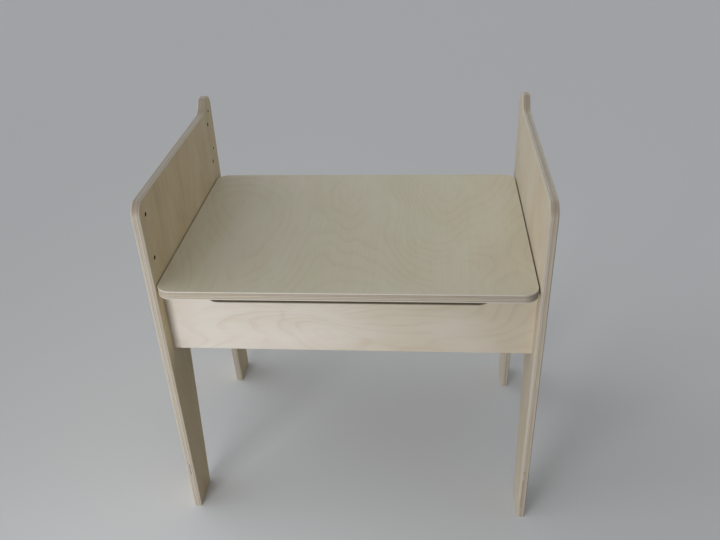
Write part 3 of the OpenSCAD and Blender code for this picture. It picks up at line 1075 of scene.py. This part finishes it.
@dataclass
class Hinges:
    """The two butt hinges with their screws and pins."""

    screw_d: float = 3.1
    screw_depth: float = 11.7
    screw_pitch: float = 34.0
    screw_edge: float = 5.0
    screw_stagger: float = 4.0
    leaf_edge: float = 0.25
    screw_edge_w: float = 0.08

    def pilot_holes(self, board: str, leaf: str, width: Axis, into: Axis) -> Cutters:
        """Makes the pilot holes for the screws of two leaves.

        Args:
            board: the board's node, drilled from its lower face.
            leaf: the leaves' nodes without their side.
            width: the axis that a leaf's width runs along.
            into: the axis that the screws go along.

        Returns:
            Three cutters for each leaf.
        """
        cutters = []
        for side in Side:
            box = node_box(f"{leaf}_{side.name.lower()}")
            for i in (-1, 0, 1):
                spot = (box.low + box.high) / 2
                spot.x += i * self.screw_pitch / 2
                spot[width.value] = box.low[width.value] + self.screw_edge + (0 if i else self.screw_stagger)
                spot[into.value] = node_box(board).low[into.value]
                cutters.append(drill(spot, into.vector, self.screw_depth, self.screw_d))
        return cutters

    def dress(self, zinc: Material) -> None:
        """Dresses the leaves, pins and screws.

        Args:
            zinc: the material of the leaves and screws.
        """
        steel = TurnedSteel("steel_turned_pin").material()
        for side in Side:
            for kind, body in (("fixed", Body.CARCASS), ("moving", Body.LID)):
                leaf = f"hinge_leaf_{kind}_{side.name.lower()}"
                soften_node(leaf, zinc, body, self.leaf_edge)
            soften_node(f"hinge_pin_{side.name.lower()}", steel, Body.CARCASS, self.leaf_edge)
        for place, body in (("back_board", Body.CARCASS), ("lid", Body.LID)):
            soften_node(f"hinge_screws_{place}", zinc, body, self.screw_edge_w)


@dataclass
class StorageBox:
    """The shallow box between the side panels: front board, back board and bottom panel."""

    slot_l: float = 484.0
    slot_depth: float = 31.0
    slot_r: float = 25.0
    slot_lip_r: float = 3.0
    arris: float = 2.0
    back_arris: float = 1.0
    plies: int = 11
    bottom_plies: int = 7
    bottom_arris: float = 0.8
    bottom_corner: float = 1.5

    def build_front(self, joinery: Joinery, wall: Material) -> None:
        """Builds and dresses the front board, with the finger slot in its top edge.

        Args:
            joinery: the holes for the fasteners.
            wall: the material of the holes' walls.
        """
        box = node_box("front_board")
        half, top, floor = self.slot_l / 2, box.high.z, box.high.z - self.slot_depth
        corners = rectangle(box.low.xz, box.high.xz)
        corners[3:3] = [
            Corner(half, top, self.slot_lip_r),
            Corner(half, floor, self.slot_r),
            Corner(-half, floor, self.slot_r),
            Corner(-half, top, self.slot_lip_r),
        ]
        # the front board darkens towards the right: painted shade of the window light from the left
        finish = BirchPlywood(
            "front_board", Axis.X, Axis.Y, self.plies, 41.7,
            marks=(Mark(-110.0, 445.0, 14.0, 26.0, 0.07),),
            tones=Tones("E8E2D9", "D9CFBA", "E1D4C6"), late="B89280", painted_shade_drift=0.001,
            growth=BirchPlywood.growth._replace(length=420.0, width=240.0), rings=36.0,
            ring_share=0.13, fibre_share=0.10, streak_share=0.0,
        )
        cuts = joinery.in_board("front_board", 1), wall
        build_sheet(finish, Body.CARCASS, corners, self.arris, cuts, square_from=box.high.x)

    def build_back(self, joinery: Joinery, hinges: Hinges, wall: Material) -> None:
        """Builds and dresses the back board.

        Args:
            joinery: the holes for the fasteners.
            hinges: the hinges, whose fixed leaves are screwed to the board.
            wall: the material of the holes' walls.
        """
        box = node_box("back_board")
        corners = rectangle(box.low.xz, box.high.xz)
        screws = hinges.pilot_holes("back_board", "hinge_leaf_fixed", Axis.Z, Axis.Y)
        cuts = joinery.in_board("back_board", -1) + screws, wall
        finish = BirchPlywood("back_board", Axis.X, Axis.Y, self.plies, 58.2)
        build_sheet(finish, Body.CARCASS, corners, self.back_arris, cuts, square_from=box.high.x)

    def build_bottom(self) -> None:
        """Builds and dresses the bottom panel."""
        box = node_box("bottom_panel")
        corners = rectangle(box.low.xy, box.high.xy, self.bottom_corner)
        finish = BirchPlywood("bottom_panel", Axis.X, Axis.Z, self.bottom_plies, 73.9)
        build_sheet(finish, Body.CARCASS, corners, self.bottom_arris, steps=SMALL_STEPS)


@dataclass
class Lid:
    """The desk top, which turns up on its hinges."""

    corner_r: float = 25.0
    corner_steps: int = 12
    arris: float = 0.6
    plies: int = 11

    def build(self, hinges: Hinges, wall: Material) -> None:
        """Builds and dresses the lid.

        Args:
            hinges: the hinges, whose moving leaves are screwed to it.
            wall: the material of the holes' walls.
        """
        box = node_box("lid")
        corners = rectangle(box.low.xy, box.high.xy, self.corner_r)
        finish = BirchPlywood(
            "lid", Axis.Y, Axis.Z, self.plies, 22.6,
            marks=(Mark(-1.0, -77.5, 9.0, 2.2, 0.34), Mark(93.0, -230.0, 13.0, 2.2, 0.32)),
            tones=Tones("E4E0CA", "DED8BD", "E2D8C3"), late="B08E74",
            growth=BirchPlywood.growth._replace(length=460.0, width=260.0), rings=34.0,
            ring_share=0.08, fibre_share=0.12, streak_share=0.04, oblique_share=0.15,
            # a whiter arris on the lid's edges: painted highlight over the face veneer
            side_grain="DACFBD", side_dark="A79584", skin_edge_highlight="DEDAD2", skin_highlight_share=0.9,
        )
        screws = hinges.pilot_holes("lid", "hinge_leaf_moving", Axis.Y, Axis.Z)
        build_sheet(finish, Body.LID, corners, self.arris, (screws, wall), steps=self.corner_steps)


@dataclass
class Fasteners:
    """Connector bolts, barrel nuts and dowels."""

    bolt_edge: float = 0.4
    nut_edge: float = 0.3
    dowel_edge: float = 0.5

    def dress(self, zinc: Material) -> None:
        """Dresses the fasteners.

        Args:
            zinc: the material of the bolts.
        """
        for side in Side:
            bolts = f"connector_bolts_{side.name.lower()}"
            soften_node(bolts, zinc, Body.CARCASS, self.bolt_edge)
        along_x, across, _ = TurnedSteel.sizes
        nut_steel = TurnedSteel("steel_turned_nut", sizes=(across, along_x, across)).material()
        beech = TurnedBeech().material()
        for board in ("front_board", "back_board"):
            soften_node(f"barrel_nuts_{board}", nut_steel, Body.CARCASS, self.nut_edge)
            soften_node(f"dowels_{board}", beech, Body.CARCASS, self.dowel_edge)


# ---------------- studio


class Glow(NamedTuple):
    """White light from one side of the sky: where it comes from and its brightness there."""

    way: Triple
    strength: float


@dataclass
class Studio:
    """Pale floor, soft window-like light from the front left, and the camera."""

    floor_half: float = 9000.0
    floor_seen: str = "E4E7EA"
    floor_bounce: str = "9E9E9B"
    floor_rough: float = 0.9
    floor_shine: float = 0.1
    sky_seen: str = "E6EAEE"
    window_place: Triple = (-700.0, -1500.0, 450.0)
    window_target: Triple = (0.0, 0.0, 220.0)
    window_size: float = 700.0
    window_glow: float = 2.12
    window_spread: float = 90.0  # degrees; a narrow beam doesn't burn a spot into the floor
    glows: tuple[Glow, ...] = (
        Glow((0.0, 0.0, 1.0), 0.42),
        Glow((-1.0, 0.0, 0.0), 1.38),
        Glow((0.0, 1.0, 0.0), 0.25),
        Glow((1.0, 0.0, 0.0), 0.22),
    )
    glow_focus: float = 2.0
    camera_place: Triple = (129.8, -1260.8, 1157.0)
    camera_yaw: float = 0.10184
    camera_pitch: float = -0.58484
    camera_roll: float = -0.04392
    camera_sensor: float = 36.0
    camera_lens: float = 38.30
    camera_shift_y: float = 0.0587
    camera_reach: tuple[float, float] = (50.0, 60000.0)

    def build_floor(self) -> None:
        """Lays the floor, which looks pale to the camera and keeps the desk's shadow."""
        bm = bmesh.new()
        bmesh.ops.create_grid(bm, x_segments=1, y_segments=1, size=self.floor_half)
        material, add = start_material("studio_floor_matt")
        floor = as_object(bm, "studio_floor", material)
        floor.data.transform(Matrix.Scale(1 / MM_PER_M, 4))
        seen = add("LightPath").outputs
        seen = add("Math.MAXIMUM", [seen["Is Camera Ray"], seen["Is Glossy Ray"]])
        colour = add("Mix", [seen, srgb(self.floor_bounce), srgb(self.floor_seen)], **COLOUR)
        inputs = {"Base Color": colour, "Roughness": self.floor_rough, "Specular IOR Level": self.floor_shine}
        add("OutputMaterial", [add("BsdfPrincipled", inputs)])

    def build_window(self) -> None:
        """Hangs the window light."""
        light = bpy.data.lights.new("window", "AREA")
        light.shape = "SQUARE"
        light.size = self.window_size / MM_PER_M
        light.spread = math.radians(self.window_spread)
        light.energy = self.window_glow * math.pi * light.size**2
        lamp = bpy.data.objects.new("window", light)
        bpy.context.scene.collection.objects.link(lamp)
        place = Vector(self.window_place) / MM_PER_M
        aim = Vector(self.window_target) / MM_PER_M - place
        lamp.matrix_world = Matrix.Translation(place) @ aim.to_track_quat("-Z", "Y").to_matrix().to_4x4()
        lamp.visible_camera = False

    def build_sky(self) -> None:
        """Sets the sky, which is brighter on some sides."""
        world = bpy.data.worlds.new("studio_sky")
        bpy.context.scene.world = world
        world.use_nodes = True
        world.node_tree.nodes.clear()
        add = partial(add_node, world.node_tree)
        path = add("LightPath").outputs
        seen = add("Math.MAXIMUM", [path["Is Camera Ray"], path["Is Glossy Ray"]])
        seen = add("Math.MAXIMUM", [seen, path["Is Transmission Ray"]])
        light = add("CombineXYZ")
        way = add("TexCoord").outputs["Generated"]
        for glow in self.glows:
            share = add("VectorMath.DOT_PRODUCT", [way, glow.way]).outputs["Value"]
            share = add("Math.POWER", [add("Math.MAXIMUM", [share, 0.0]), self.glow_focus])
            side = add("VectorMath.SCALE", {"Vector": (glow.strength,) * 3, "Scale": share})
            light = add("VectorMath.ADD", [light, side])
        colour = add("Mix", [seen, light, srgb(self.sky_seen)], **COLOUR)
        add("OutputWorld", [add("Background", [colour, 1.0])])

    def build_camera(self) -> None:
        """Places the camera."""
        data = bpy.data.cameras.new("camera")
        data.sensor_width = self.camera_sensor
        data.lens = self.camera_lens
        data.shift_y = self.camera_shift_y
        data.clip_start, data.clip_end = (reach / MM_PER_M for reach in self.camera_reach)
        camera = bpy.data.objects.new("camera", data)
        bpy.context.scene.collection.objects.link(camera)
        turn = Matrix.Rotation(self.camera_yaw, 4, "Z")
        tilt = Matrix.Rotation(math.pi / 2 + self.camera_pitch, 4, "X")
        roll = Matrix.Rotation(self.camera_roll, 4, "Z")
        camera.matrix_world = Matrix.Translation(Vector(self.camera_place) / MM_PER_M) @ turn @ tilt @ roll
        bpy.context.scene.camera = camera

    def build(self) -> None:
        """Builds the studio."""
        self.build_floor()
        self.build_window()
        self.build_sky()
        self.build_camera()
        bpy.context.scene.view_settings.view_transform = "Standard"


def main() -> None:
    """Builds the studio and the desk, piece by piece."""
    logging.basicConfig(level=logging.INFO, format="%(name)s: %(message)s")
    Studio().build()
    joinery = Joinery()
    hinges = Hinges()
    zinc = ZincPlate().material()
    wall = DrilledBore().material()
    for side in Side:
        SidePanel(side).build(joinery, wall)
    box = StorageBox()
    box.build_front(joinery, wall)
    box.build_back(joinery, hinges, wall)
    box.build_bottom()
    Lid().build(hinges, wall)
    hinges.dress(zinc)
    Fasteners().dress(zinc)


if __name__ == "__main__":
    main()
